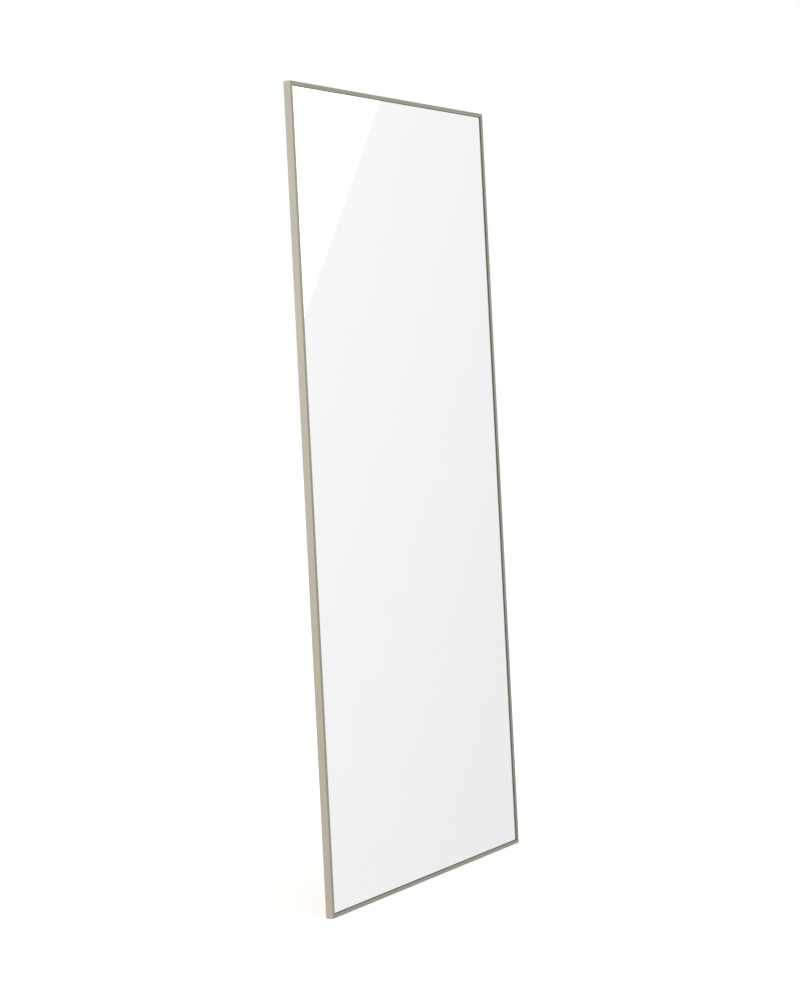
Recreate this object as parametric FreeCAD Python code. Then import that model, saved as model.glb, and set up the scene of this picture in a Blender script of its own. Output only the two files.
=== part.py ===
"""Tall wall mirror in a slim mitred frame of extruded aluminium channel.

Millimetres. +X is to the right seen from the front, the glass faces -Y, +Z is up.
The origin is the centre of the bounding box, from the frame's front face to the wall plane.
Depths are counted from the frame's front face, insets from the frame's outer side.
"""
import FreeCAD, Part
import math
import os

Vector = FreeCAD.Vector

# Outer size of the frame
MIRROR_WIDTH = 915.0
MIRROR_HEIGHT = 1830.0

# Frame channel
FACE_WIDTH = 9.0
SIDE_WALL = 1.4
FRONT_WALL = 1.4
LIP_WALL = 1.2
LIP_DEPTH = 2.2
BACK_FLANGE = 1.2
FLANGE_REACH = 14.0
EDGE_RADIUS = 0.5
FLANGE_EDGE_RADIUS = 0.3
MITRE_GAP = 0.1

# Layers between the lip and the back flange
GASKET_THICKNESS = 0.8
GASKET_WIDTH = 4.0
GASKET_BEAD = 1.0
GASKET_BEAD_ROUND = 0.35
GLASS_THICKNESS = 4.0
GLASS_ARRIS = 0.5
GLASS_EDGE_GAP = 1.0
FILM_THICKNESS = 0.3
FILM_MARGIN = 3.0
TAPE_THICKNESS = 1.0
TAPE_WIDTH = 25.0
TAPE_COUNT = 5
TAPE_SIDE_INSET = 60.0
TAPE_END_INSET = 50.0
PANEL_THICKNESS = 8.0
PANEL_EDGE_GAP = 1.0

# Blocks that carry the glass on the bottom rail
SETTING_BLOCK_LENGTH = 80.0
SETTING_BLOCK_INSET = 230.0

# Wood screws
SHANK_RADIUS = 1.75
SCREW_BITE = 6.5
SCREW_POINT = 2.5
POINT_RADIUS = 0.3
PILOT_CLEARANCE = 0.05
PILOT_SPARE_DEPTH = 0.3
THROUGH_CLEARANCE = 0.5
PAN_HEAD_RADIUS = 3.3
PAN_HEAD_HEIGHT = 1.8
PAN_HEAD_CHAMFER = 0.8
FLAT_HEAD_RADIUS = 3.5
FLAT_HEAD_RIM = 0.2
FLAT_HEAD_CLEARANCE = 0.05
SCREW_SIDES = 8

# Fixings along the back flange
FIXING_INSET = 8.25
STILE_FIXINGS = 4
RAIL_FIXINGS = 2

# Corner plates
CORNER_PLATE_WIDTH = 10.5
CORNER_PLATE_LEG = 60.0
CORNER_PLATE_THICKNESS = 1.5
CORNER_PLATE_ROUND = 2.0
CORNER_SCREW_NEAR = 26.0
CORNER_SCREW_FAR = 48.0

# Wall bumpers
BUMPER_HEIGHT = 7.0
BUMPER_BASE_RADIUS = 10.0
BUMPER_TOP_RADIUS = 8.5
BUMPER_CHAMFER = 0.8
BUMPER_WELL_RADIUS = 4.4
BUMPER_WELL_DEPTH = 4.0
BUMPER_INSET = 45.0

# D-ring hangers
HANGER_INSET = 60.0
HANGER_DROP = 350.0
STRAP_THICKNESS = 1.2
STRAP_WIDTH = 14.0
STRAP_LENGTH = 48.0
STRAP_STEP = 1.0
STRAP_STEP_START = 4.0
STRAP_STEP_RUN = 2.5
STRAP_END_ROUND = 4.5
STRAP_SCREW_NEAR = 25.0
STRAP_SCREW_FAR = 39.0
KNUCKLE_CLEARANCE = 0.05
KNUCKLE_ROLL = (-90, 45, 180)
RING_WIRE = 2.5
RING_INNER_WIDTH = 22.0
RING_INNER_DROP = 15.5
RING_CORNER_RADIUS = 3.0
RING_SIDES = 12

# Depths of the layers
GLASS_FRONT = LIP_DEPTH + GASKET_THICKNESS
GLASS_BACK = GLASS_FRONT + GLASS_THICKNESS
FILM_BACK = GLASS_BACK + FILM_THICKNESS
TAPE_BACK = FILM_BACK + TAPE_THICKNESS
PANEL_BACK = TAPE_BACK + PANEL_THICKNESS
FRAME_DEPTH = PANEL_BACK + BACK_FLANGE
CORNER_PLATE_BACK = FRAME_DEPTH + CORNER_PLATE_THICKNESS
WALL_PLANE = PANEL_BACK + BUMPER_HEIGHT

# Hanger ring bar and knuckle
RING_RADIUS = RING_WIRE / 2
KNUCKLE_INNER = RING_RADIUS + KNUCKLE_CLEARANCE
KNUCKLE_OUTER = KNUCKLE_INNER + STRAP_THICKNESS
STRAP_BACK = PANEL_BACK + STRAP_THICKNESS
RING_DEPTH = STRAP_BACK + STRAP_STEP + KNUCKLE_INNER
RING_HEIGHT = MIRROR_HEIGHT / 2 - HANGER_DROP
RING_OFFSET = MIRROR_WIDTH / 2 - HANGER_INSET

# Each side of the frame: turn about Y from the bottom rail, length, distance from the centre, fixings
SIDES = {
    "bottom_rail": (0.0, MIRROR_WIDTH, MIRROR_HEIGHT / 2, RAIL_FIXINGS),
    "left_stile": (90.0, MIRROR_HEIGHT, MIRROR_WIDTH / 2, STILE_FIXINGS),
    "top_rail": (180.0, MIRROR_WIDTH, MIRROR_HEIGHT / 2, RAIL_FIXINGS),
    "right_stile": (-90.0, MIRROR_HEIGHT, MIRROR_WIDTH / 2, STILE_FIXINGS),
}
CORNERS = {
    "top_left": (-1, 1),
    "top_right": (1, 1),
    "bottom_left": (-1, -1),
    "bottom_right": (1, -1),
}
HANDS = {"left": -1, "right": 1}
TOUCH = 1e-6
AXIS_X = Vector(1, 0, 0)
AXIS_Y = Vector(0, 1, 0)
AXIS_Z = Vector(0, 0, 1)


def at(x, depth, z):
    """Point in the part's frame at a depth behind the frame's front face."""
    return Vector(x, depth - WALL_PLANE / 2, z)


def box(x_range, depth_range, z_range):
    """Block between pairs of limits."""
    sizes = [high - low for low, high in (x_range, depth_range, z_range)]
    return Part.makeBox(*sizes, at(x_range[0], depth_range[0], z_range[0]))


def rounded_outline(points, to_space):
    """Closed wire through flat points (a, b, radius), each corner rounded to its radius."""
    count = len(points)
    corners = []
    for index, (a, b, radius) in enumerate(points):
        here = Vector(a, b, 0)
        if radius == 0:
            corners.append((here, None, here))
            continue
        before = Vector(*points[index - 1][:2], 0)
        after = Vector(*points[(index + 1) % count][:2], 0)
        back = (before - here).normalize()
        ahead = (after - here).normalize()
        half_angle = back.getAngle(ahead) / 2
        run = radius / math.tan(half_angle)
        inward = (back + ahead).normalize()
        middle = here + inward * (radius / math.sin(half_angle) - radius)
        corners.append((here + back * run, middle, here + ahead * run))
    edges = []
    for index, (start, middle, end) in enumerate(corners):
        if middle is not None:
            edges.append(Part.Arc(to_space(start), to_space(middle), to_space(end)).toShape())
        following = corners[(index + 1) % count][0]
        edges.append(Part.makeLine(to_space(end), to_space(following)))
    return Part.Wire(edges)


def on_side(shape, side):
    """Turn a shape modelled in the bottom rail's place, inset upwards from z = 0, to a side."""
    turn, _, reach, _ = SIDES[side]
    placed = shape.copy()
    placed.translate(Vector(0, 0, -reach))
    placed.rotate(Vector(0, 0, 0), AXIS_Y, turn)
    return placed


def side_fixings(side):
    """Places along a side, from its middle, of the screws through the back flange."""
    _, length, _, count = SIDES[side]
    return [length * ((index + 1) / (count + 1) - 0.5) for index in range(count)]


def corner_place(corner, from_side, from_end):
    """X and Z of a point given by its insets from the two outer sides that meet in a corner."""
    hand, rise = CORNERS[corner]
    return hand * (MIRROR_WIDTH / 2 - from_side), rise * (MIRROR_HEIGHT / 2 - from_end)


def corner_fixings(corner):
    """X and Z of the screws in one corner plate."""
    insets = []
    for along in (CORNER_SCREW_NEAR, CORNER_SCREW_FAR):
        insets.append((along, FIXING_INSET))
        insets.append((FIXING_INSET, along))
    return [corner_place(corner, *inset) for inset in insets]


def hanger_fixings(hand):
    """X and Z of the screws in one hanger strap."""
    drops = (STRAP_SCREW_NEAR, STRAP_SCREW_FAR)
    return [(hand * RING_OFFSET, RING_HEIGHT - drop) for drop in drops]


def bumper_place(corner):
    """X and Z of a wall bumper."""
    return corner_place(corner, BUMPER_INSET, BUMPER_INSET)


def flange_fixings(side):
    """X and Z of the flange screws of one side, in the part's frame."""
    places = []
    for along in side_fixings(side):
        point = on_side(Part.Vertex(along, 0, FIXING_INSET), side).Point
        places.append((point.x, point.z))
    return places


def facet_points(radius, sides):
    """Flat points on a circle, first one repeated, for an outline of straight sides."""
    turns = [2 * math.pi * index / sides for index in range(sides + 1)]
    return [(radius * math.cos(turn), radius * math.sin(turn)) for turn in turns]


def spindle(place, stations):
    """Straight-sided bar along Y through (radius, depth) stations; screws and their holes share it."""
    x, z = place
    wires = []
    for radius, depth in stations:
        points = [at(x + across, depth, z + rise) for across, rise in facet_points(radius, SCREW_SIDES)]
        wires.append(Part.makePolygon(points))
    lengths = []
    for index, (below, above) in enumerate(zip(stations, stations[1:])):
        if above[1] > below[1]:
            lengths.append(Part.makeLoft(wires[index:index + 2], True, True))
    return lengths[0].fuse(lengths[1:]).removeSplitter() if len(lengths) > 1 else lengths[0]


def hole(place, radius, depth_range):
    """Cutter of one radius along Y."""
    return spindle(place, [(radius, depth) for depth in depth_range])


def shank(seat):
    """Stations of a screw's shank, from its tip in the panel up to a depth."""
    tip = PANEL_BACK - SCREW_BITE
    return [(POINT_RADIUS, tip), (SHANK_RADIUS, tip + SCREW_POINT), (SHANK_RADIUS, seat)]


def pan_screw(place, seat):
    """Screw with a domed head that bears at a depth."""
    crown = seat + PAN_HEAD_HEIGHT
    head = [
        (PAN_HEAD_RADIUS, seat),
        (PAN_HEAD_RADIUS, crown - PAN_HEAD_CHAMFER),
        (PAN_HEAD_RADIUS - PAN_HEAD_CHAMFER, crown),
    ]
    return spindle(place, shank(seat) + head)


def flat_screw(place, crown):
    """Countersunk screw whose head ends flush at a depth."""
    rim = crown - FLAT_HEAD_RIM
    neck = rim - (FLAT_HEAD_RADIUS - SHANK_RADIUS)
    return spindle(place, shank(neck) + [(FLAT_HEAD_RADIUS, rim), (FLAT_HEAD_RADIUS, crown)])


def countersink(place, crown):
    """Cutter for a countersunk screw in the corner plate."""
    through = SHANK_RADIUS + THROUGH_CLEARANCE
    mouth = FLAT_HEAD_RADIUS + FLAT_HEAD_CLEARANCE
    rim = crown - FLAT_HEAD_RIM
    neck = rim - (mouth - through)
    below = FRAME_DEPTH - BACK_FLANGE
    return spindle(place, [(through, below), (through, neck), (mouth, rim), (mouth, crown + FLAT_HEAD_RIM)])


def frame_bar(side):
    """One mitred length of channel with its fixing holes."""
    _, length, _, _ = SIDES[side]
    lip_back = FACE_WIDTH - LIP_WALL
    section = [
        (0, 0, EDGE_RADIUS),
        (FACE_WIDTH, 0, EDGE_RADIUS),
        (FACE_WIDTH, LIP_DEPTH, 0),
        (lip_back, LIP_DEPTH, 0),
        (lip_back, FRONT_WALL, 0),
        (SIDE_WALL, FRONT_WALL, 0),
        (SIDE_WALL, PANEL_BACK, 0),
        (FLANGE_REACH, PANEL_BACK, 0),
        (FLANGE_REACH, FRAME_DEPTH, FLANGE_EDGE_RADIUS),
        (0, FRAME_DEPTH, FLANGE_EDGE_RADIUS),
    ]
    wire = rounded_outline(section, lambda point: at(-length / 2, point.y, point.x))
    blank = Part.Face(wire).extrude(Vector(length, 0, 0))
    inset = max(FACE_WIDTH, FLANGE_REACH)
    end = length / 2 - MITRE_GAP / math.sqrt(2)
    mitre = [(-end, 0, 0), (end, 0, 0), (end - inset, inset, 0), (inset - end, inset, 0)]
    mitre_wire = rounded_outline(mitre, lambda point: at(point.x, 0, point.y))
    keep = Part.Face(mitre_wire).extrude(Vector(0, FRAME_DEPTH, 0))
    bar = on_side(blank.common(keep), side)
    places = flange_fixings(side)
    for corner in CORNERS:
        places.extend(corner_fixings(corner))
    through = SHANK_RADIUS + THROUGH_CLEARANCE
    depth_range = (PANEL_BACK - BACK_FLANGE, FRAME_DEPTH + BACK_FLANGE)
    cutters = [hole(place, through, depth_range) for place in places]
    return bar.cut(Part.makeCompound(cutters))


def layer(edge_inset, depth_range):
    """Sheet that ends at one inset from all four outer sides."""
    half_width = MIRROR_WIDTH / 2 - edge_inset
    half_height = MIRROR_HEIGHT / 2 - edge_inset
    return box((-half_width, half_width), depth_range, (-half_height, half_height))


def mirror_glass():
    """Glass sheet with ground arrises."""
    sheet = layer(SIDE_WALL + GLASS_EDGE_GAP, (GLASS_FRONT, GLASS_BACK))
    return sheet.makeChamfer(GLASS_ARRIS, sheet.Edges)


def back_panel():
    """Fibreboard panel with pilot holes for every screw."""
    panel = layer(SIDE_WALL + PANEL_EDGE_GAP, (TAPE_BACK, PANEL_BACK))
    places = []
    for side in SIDES:
        places.extend(flange_fixings(side))
    for corner in CORNERS:
        places.extend(corner_fixings(corner))
        places.append(bumper_place(corner))
    for hand in HANDS.values():
        places.extend(hanger_fixings(hand))
    bottom = PANEL_BACK - SCREW_BITE - PILOT_SPARE_DEPTH
    radius = SHANK_RADIUS + PILOT_CLEARANCE
    cutters = [hole(place, radius, (bottom, PANEL_BACK + PILOT_SPARE_DEPTH)) for place in places]
    return panel.cut(Part.makeCompound(cutters))


def gasket(side):
    """Strip between the lip and the glass, its bead showing; stile strips run past rail strips."""
    _, length, _, _ = SIDES[side]
    inner = FACE_WIDTH + GASKET_BEAD
    outer = inner - GASKET_WIDTH
    end_inset = outer if side.endswith("stile") else inner
    half = length / 2 - end_inset
    section = [
        (outer, LIP_DEPTH, 0),
        (inner, LIP_DEPTH, GASKET_BEAD_ROUND),
        (inner, GLASS_FRONT, GASKET_BEAD_ROUND),
        (outer, GLASS_FRONT, 0),
    ]
    wire = rounded_outline(section, lambda point: at(-half, point.y, point.x))
    return on_side(Part.Face(wire).extrude(Vector(2 * half, 0, 0)), side)


def mounting_tape(index):
    """One upright strip of tape between the film and the panel."""
    span = MIRROR_WIDTH - 2 * TAPE_SIDE_INSET
    middle = span * (index / (TAPE_COUNT - 1) - 0.5)
    half_height = MIRROR_HEIGHT / 2 - TAPE_END_INSET
    x_range = (middle - TAPE_WIDTH / 2, middle + TAPE_WIDTH / 2)
    return box(x_range, (FILM_BACK, TAPE_BACK), (-half_height, half_height))


def setting_block(hand):
    """Block under the glass on the bottom rail."""
    middle = hand * (MIRROR_WIDTH / 2 - SETTING_BLOCK_INSET)
    x_range = (middle - SETTING_BLOCK_LENGTH / 2, middle + SETTING_BLOCK_LENGTH / 2)
    block = box(x_range, (GLASS_FRONT, GLASS_BACK), (SIDE_WALL, SIDE_WALL + GLASS_EDGE_GAP))
    return on_side(block, "bottom_rail")


def corner_plate(corner):
    """Flat angle plate over a mitre, on the back flange."""
    near = FIXING_INSET - CORNER_PLATE_WIDTH / 2
    far = FIXING_INSET + CORNER_PLATE_WIDTH / 2
    insets = [
        (near, near),
        (CORNER_PLATE_LEG, near),
        (CORNER_PLATE_LEG, far),
        (far, far),
        (far, CORNER_PLATE_LEG),
        (near, CORNER_PLATE_LEG),
    ]
    points = [(*corner_place(corner, *inset), CORNER_PLATE_ROUND) for inset in insets]
    wire = rounded_outline(points, lambda point: at(point.x, FRAME_DEPTH, point.y))
    plate = Part.Face(wire).extrude(Vector(0, CORNER_PLATE_THICKNESS, 0))
    cutters = [countersink(place, CORNER_PLATE_BACK) for place in corner_fixings(corner)]
    return plate.cut(Part.makeCompound(cutters))


def bumper(corner):
    """Tapered foot with a well for its screw."""
    x, z = bumper_place(corner)
    base = at(x, PANEL_BACK, z)
    foot = Part.makeCone(BUMPER_BASE_RADIUS, BUMPER_TOP_RADIUS, BUMPER_HEIGHT, base, AXIS_Y)
    rim = [edge for edge in foot.Edges if abs(edge.BoundBox.YMin - at(0, WALL_PLANE, 0).y) < TOUCH]
    foot = foot.makeChamfer(BUMPER_CHAMFER, rim)
    floor = WALL_PLANE - BUMPER_WELL_DEPTH
    well = hole((x, z), BUMPER_WELL_RADIUS, (floor, WALL_PLANE))
    through = hole((x, z), SHANK_RADIUS + THROUGH_CLEARANCE, (PANEL_BACK, floor))
    return foot.cut(well.fuse(through))


def hanger_strap(hand):
    """Steel strap with a step up to a knuckle rolled round the ring's bar."""
    def section(rise, depth):
        return at(hand * RING_OFFSET - STRAP_WIDTH / 2, depth, RING_HEIGHT + rise)

    def round_bar(radius, degrees):
        angle = math.radians(degrees)
        return section(radius * math.cos(angle), RING_DEPTH + radius * math.sin(angle))

    roll_start, _, roll_end = KNUCKLE_ROLL
    raised = PANEL_BACK + STRAP_STEP
    step_end = STRAP_STEP_START + STRAP_STEP_RUN
    front = [
        section(-STRAP_LENGTH, PANEL_BACK),
        section(-step_end, PANEL_BACK),
        section(-STRAP_STEP_START, raised),
        round_bar(KNUCKLE_OUTER, roll_start),
    ]
    back = [
        round_bar(KNUCKLE_INNER, roll_start),
        section(-STRAP_STEP_START, raised + STRAP_THICKNESS),
        section(-step_end, STRAP_BACK),
        section(-STRAP_LENGTH, STRAP_BACK),
    ]
    edges = [Part.makeLine(*pair) for pair in zip(front, front[1:])]
    roll = [round_bar(KNUCKLE_OUTER, degrees) for degrees in KNUCKLE_ROLL]
    edges.append(Part.Arc(*roll).toShape())
    edges.append(Part.makeLine(round_bar(KNUCKLE_OUTER, roll_end), round_bar(KNUCKLE_INNER, roll_end)))
    bore = [round_bar(KNUCKLE_INNER, degrees) for degrees in reversed(KNUCKLE_ROLL)]
    edges.append(Part.Arc(*bore).toShape())
    edges.extend(Part.makeLine(*pair) for pair in zip(back, back[1:]))
    edges.append(Part.makeLine(back[-1], front[0]))
    strap = Part.Face(Part.Wire(edges)).extrude(Vector(STRAP_WIDTH, 0, 0))
    ends = [edge for edge in strap.Edges if edge.BoundBox.ZMax < RING_HEIGHT - STRAP_LENGTH + TOUCH]
    upright = [edge for edge in ends if edge.BoundBox.YLength > STRAP_THICKNESS / 2]
    strap = strap.makeFillet(STRAP_END_ROUND, upright)
    through = SHANK_RADIUS + THROUGH_CLEARANCE
    cutters = [hole(place, through, (PANEL_BACK, STRAP_BACK)) for place in hanger_fixings(hand)]
    return strap.cut(Part.makeCompound(cutters))


def hanger_ring(hand):
    """D-shaped wire ring that hangs straight down from its bar."""
    x = hand * RING_OFFSET
    half_width = (RING_INNER_WIDTH + RING_WIRE) / 2
    drop = RING_INNER_DROP + RING_WIRE
    corner = RING_CORNER_RADIUS
    bow_height = half_width - drop

    def wire_face(across, rise, normal):
        spread = AXIS_Z if normal == AXIS_X else AXIS_X
        centre = at(x + across, RING_DEPTH, RING_HEIGHT + rise)
        points = [centre + spread * a + AXIS_Y * b for a, b in facet_points(RING_RADIUS, RING_SIDES)]
        return Part.Face(Part.makePolygon(points))

    def bend(across, rise, normal, centre_across, centre_rise, degrees):
        centre = at(x + centre_across, RING_DEPTH, RING_HEIGHT + centre_rise)
        return wire_face(across, rise, normal).revolve(centre, AXIS_Y, degrees)

    straight = half_width - corner
    leg = Vector(0, 0, bow_height + corner)
    pieces = [
        bend(straight, 0, AXIS_X, straight, -corner, 90),
        wire_face(half_width, -corner, AXIS_Z).extrude(leg),
        bend(half_width, bow_height, AXIS_Z, 0, bow_height, 180),
        wire_face(-half_width, -corner, AXIS_Z).extrude(leg),
        bend(-half_width, -corner, AXIS_Z, -straight, -corner, 90),
    ]
    bar = wire_face(-straight, 0, AXIS_X).extrude(Vector(2 * straight, 0, 0))
    return bar.fuse(pieces).removeSplitter()


def build_nodes():
    """Every sub-component by its node name."""
    nodes = {"mirror_glass": mirror_glass(), "back_panel": back_panel()}
    nodes["safety_film"] = layer(SIDE_WALL + GLASS_EDGE_GAP + FILM_MARGIN, (GLASS_BACK, FILM_BACK))
    for side in SIDES:
        nodes["frame_" + side] = frame_bar(side)
        nodes["gasket_" + side] = gasket(side)
        screws = [pan_screw(place, FRAME_DEPTH) for place in flange_fixings(side)]
        nodes["flange_screws_" + side] = Part.makeCompound(screws)
    for index in range(TAPE_COUNT):
        nodes["mounting_tape_" + str(index + 1)] = mounting_tape(index)
    for corner in CORNERS:
        screws = [flat_screw(place, CORNER_PLATE_BACK) for place in corner_fixings(corner)]
        nodes["corner_plate_" + corner] = corner_plate(corner)
        nodes["corner_screws_" + corner] = Part.makeCompound(screws)
        nodes["bumper_" + corner] = bumper(corner)
        seat = WALL_PLANE - BUMPER_WELL_DEPTH
        nodes["bumper_screw_" + corner] = pan_screw(bumper_place(corner), seat)
    for name, hand in HANDS.items():
        screws = [pan_screw(place, STRAP_BACK) for place in hanger_fixings(hand)]
        nodes["setting_block_" + name] = setting_block(hand)
        nodes["hanger_strap_" + name] = hanger_strap(hand)
        nodes["hanger_ring_" + name] = hanger_ring(hand)
        nodes["hanger_screws_" + name] = Part.makeCompound(screws)
    return nodes


os.makedirs("parts", exist_ok=True)
for node, shape in build_nodes().items():
    shape.exportStep("parts/" + node + ".step")
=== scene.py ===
"""Looks, light and camera for a tall wall mirror in a slim mitred frame.

Metres, in the same frame as the solids: +X is to the right seen from the front, the glass faces -Y and
+Z is up.
"""

import math

import bmesh
import bpy
from mathutils import Matrix, Quaternion, Vector


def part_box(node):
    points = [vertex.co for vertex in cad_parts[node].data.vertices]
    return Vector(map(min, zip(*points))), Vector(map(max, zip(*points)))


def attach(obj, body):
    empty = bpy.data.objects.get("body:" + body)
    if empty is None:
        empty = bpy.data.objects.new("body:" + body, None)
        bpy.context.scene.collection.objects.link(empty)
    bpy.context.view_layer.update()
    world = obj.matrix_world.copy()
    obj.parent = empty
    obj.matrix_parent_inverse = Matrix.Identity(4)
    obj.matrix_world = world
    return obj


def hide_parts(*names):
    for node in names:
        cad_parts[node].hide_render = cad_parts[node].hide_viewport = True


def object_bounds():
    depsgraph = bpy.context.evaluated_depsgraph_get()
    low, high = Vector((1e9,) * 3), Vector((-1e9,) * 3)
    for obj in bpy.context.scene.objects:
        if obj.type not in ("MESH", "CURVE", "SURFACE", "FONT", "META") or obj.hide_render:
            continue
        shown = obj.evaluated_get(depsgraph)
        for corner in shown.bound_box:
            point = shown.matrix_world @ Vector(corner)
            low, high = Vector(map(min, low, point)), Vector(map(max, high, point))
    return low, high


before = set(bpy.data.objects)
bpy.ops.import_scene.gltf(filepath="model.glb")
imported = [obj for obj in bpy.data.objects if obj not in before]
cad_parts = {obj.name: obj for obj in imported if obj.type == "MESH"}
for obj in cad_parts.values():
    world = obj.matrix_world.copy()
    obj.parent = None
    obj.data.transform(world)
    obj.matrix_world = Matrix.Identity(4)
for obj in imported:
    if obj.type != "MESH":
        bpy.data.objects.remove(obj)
cad_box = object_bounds()

MM = 0.001
QUARTER = math.pi / 2
SIDES = ("bottom_rail", "left_stile", "top_rail", "right_stile")
CORNERS = ("top_left", "top_right", "bottom_left", "bottom_right")
HANDS = ("left", "right")
MAIN_BODY = "mirror"

# Sizes of the screws
SCREW_SEGMENTS = 24
THREAD_PITCH = 1.25 * MM
THREAD_ROWS = 6
THREAD_CREST = 1.72 * MM
THREAD_ROOT = 1.25 * MM
THREAD_RIDGE_SHARE = 0.32
SCREW_POINT = 2.5 * MM
POINT_RADIUS = 0.3 * MM
PLAIN_NECK = 0.8 * MM
HEAD_EDGE = 0.1 * MM
CROWN_RADIUS = 0.3 * MM
PAN_RADIUS = 3.3 * MM
PAN_HEIGHT = 1.8 * MM
PAN_RIM = 0.7 * MM
PAN_ROWS = 7
PAN_FULLNESS = 0.6
FLAT_RADIUS = 3.5 * MM
FLAT_RIM = 0.2 * MM
FLAT_EDGE_DROP = 0.06 * MM
RECESS_ARM = 1.75 * MM
RECESS_HALF_WIDTH = 0.42 * MM
RECESS_DEPTH = 1.15 * MM
RECESS_TAPER = 0.5
RECESS_FLARE = 1.05
SCREW_TURN_STEP = math.radians(137.5)
SCREW_SPACING = 8 * MM

# Sizes of the hanger rings
RING_WIRE_RADIUS = 1.25 * MM
RING_CORNER_RADIUS = 3 * MM
RING_SECTION_SIDES = 20
RING_CORNER_STEPS = 10
RING_BOW_STEPS = 40

# Sizes of the hanger straps
STRAP_THICKNESS = 1.2 * MM
STRAP_END_ROUND = 4.5 * MM
STRAP_STEP = 1.0 * MM
STRAP_STEP_START = 4.0 * MM
STRAP_STEP_RUN = 2.5 * MM
STRAP_LENGTH = 48 * MM
STRAP_BEND_ROUND = 1.2 * MM
STRAP_END_ROWS = 10
KNUCKLE_CLEARANCE = 0.05 * MM
KNUCKLE_STEPS = 36
KNUCKLE_SWEEP = math.radians(270)
STRAP_HOLE_RADIUS = 2.25 * MM
STAMPED_EDGE = 0.15 * MM

# Sizes of the corner plates
PLATE_ARM = 10.5 * MM
PLATE_ROUND = 2 * MM
PLATE_ROUND_STEPS = 6
PLATE_EDGE = 0.2 * MM
SINK_THROUGH = 2.25 * MM
SINK_MOUTH = 3.55 * MM
HOLE_SEGMENTS = 48

# Sizes of the wall bumpers
BUMPER_TOP_RADIUS = 8.5 * MM
BUMPER_TOP_ROUND = 0.8 * MM
BUMPER_BASE_ROUND = 0.4 * MM
BUMPER_WELL_RADIUS = 4.4 * MM
BUMPER_WELL_DEPTH = 4 * MM
BUMPER_WELL_ROUND = 0.4 * MM
BUMPER_BORE = 2.25 * MM
BUMPER_GROOVE = 0.25 * MM
BUMPER_GROOVE_RADII = (5.6 * MM, 6.8 * MM)
BUMPER_GROOVE_HALF_WIDTH = 0.3 * MM
BUMPER_SEGMENTS = 64
ROUND_STEPS = 5

# Fineness of the meshes
SLIVER = 0.0005 * MM
EASE_SEGMENTS = 2
SMOOTH_ANGLE = math.radians(32)
FINE_SMOOTH_ANGLE = math.radians(50)


# Mesh helpers

def in_scene(name, data):
    """New object in the scene."""
    thing = bpy.data.objects.new(name, data)
    bpy.context.scene.collection.objects.link(thing)
    return thing


def placed_along_y(x, y, z, turn=0.0):
    """Matrix that stands a shape with its axis on local Z on the back of the mirror, pointing to +Y."""
    upright = Matrix.Rotation(-QUARTER, 4, "X") @ Matrix.Rotation(turn, 4, "Z")
    return Matrix.Translation((x, y, z)) @ upright


def circle(radius, count):
    """Flat points on a circle."""
    turns = [2 * math.pi * index / count for index in range(count)]
    return [(radius * math.cos(turn), radius * math.sin(turn)) for turn in turns]


def arc(centre, radius, start, end, steps):
    """Flat points along an arc, both ends included."""
    turns = [start + (end - start) * index / steps for index in range(steps + 1)]
    return [(centre[0] + radius * math.cos(turn), centre[1] + radius * math.sin(turn)) for turn in turns]


def skin(rings, closed):
    """Mesh over rings of equal counts of points; the last ring joins the first, or both ends get a cap."""
    bm = bmesh.new()
    rows = [[bm.verts.new(point) for point in ring] for ring in rings]
    count = len(rows[0])
    pairs = list(zip(rows, rows[1:]))
    if closed:
        pairs.append((rows[-1], rows[0]))
    for below, above in pairs:
        for index in range(count):
            following = (index + 1) % count
            bm.faces.new((below[index], below[following], above[following], above[index]))
    if not closed:
        bm.faces.new(list(reversed(rows[0])))
        bm.faces.new(rows[-1])
    bmesh.ops.recalc_face_normals(bm, faces=bm.faces)
    mesh = bpy.data.meshes.new("shape")
    bm.to_mesh(mesh)
    bm.free()
    return mesh


def lathe(profile, segments):
    """Closed ring body from a closed profile of (radius, height) points round local Z."""
    rings = []
    for index in range(segments):
        turn = 2 * math.pi * index / segments
        rings.append([(r * math.cos(turn), r * math.sin(turn), height) for r, height in profile])
    return skin(rings, closed=True)


def turned_rings(stations, segments):
    """Rings of points round local Z at (radius, height) stations."""
    return [[(x, y, height) for x, y in circle(radius, segments)] for radius, height in stations]


def cut(mesh, cutters):
    """Mesh with other meshes taken away."""
    body = in_scene("body_to_cut", mesh)
    tools = []
    for cutter in cutters:
        tool = in_scene("cutting_tool", cutter)
        tools.append(tool)
        step = body.modifiers.new("cut", "BOOLEAN")
        step.operation = "DIFFERENCE"
        step.solver = "EXACT"
        step.object = tool
    result = applied(body)
    for used in tools + [body]:
        bpy.data.objects.remove(used)
    return without_slivers(result)


def without_slivers(mesh):
    """Mesh without faces that have collapsed to a line or a point."""
    bm = bmesh.new()
    bm.from_mesh(mesh)
    bmesh.ops.dissolve_degenerate(bm, dist=SLIVER, edges=bm.edges)
    bm.to_mesh(mesh)
    bm.free()
    return mesh


def applied(piece):
    """New mesh with the piece's modifiers applied."""
    bpy.context.view_layer.update()
    depsgraph = bpy.context.evaluated_depsgraph_get()
    return bpy.data.meshes.new_from_object(piece.evaluated_get(depsgraph))


def eased(mesh, width):
    """Mesh with its sharp edges rounded over, worked in millimetres, as fine bevels collapse in metres."""
    mesh.transform(Matrix.Scale(1 / MM, 4))
    body = in_scene("body_to_ease", mesh)
    step = body.modifiers.new("ease", "BEVEL")
    step.width = width / MM
    step.segments = EASE_SEGMENTS
    step.limit_method = "ANGLE"
    step.angle_limit = SMOOTH_ANGLE
    step.use_clamp_overlap = True
    result = applied(body)
    bpy.data.objects.remove(body)
    result.transform(Matrix.Scale(MM, 4))
    return without_slivers(result)


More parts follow.
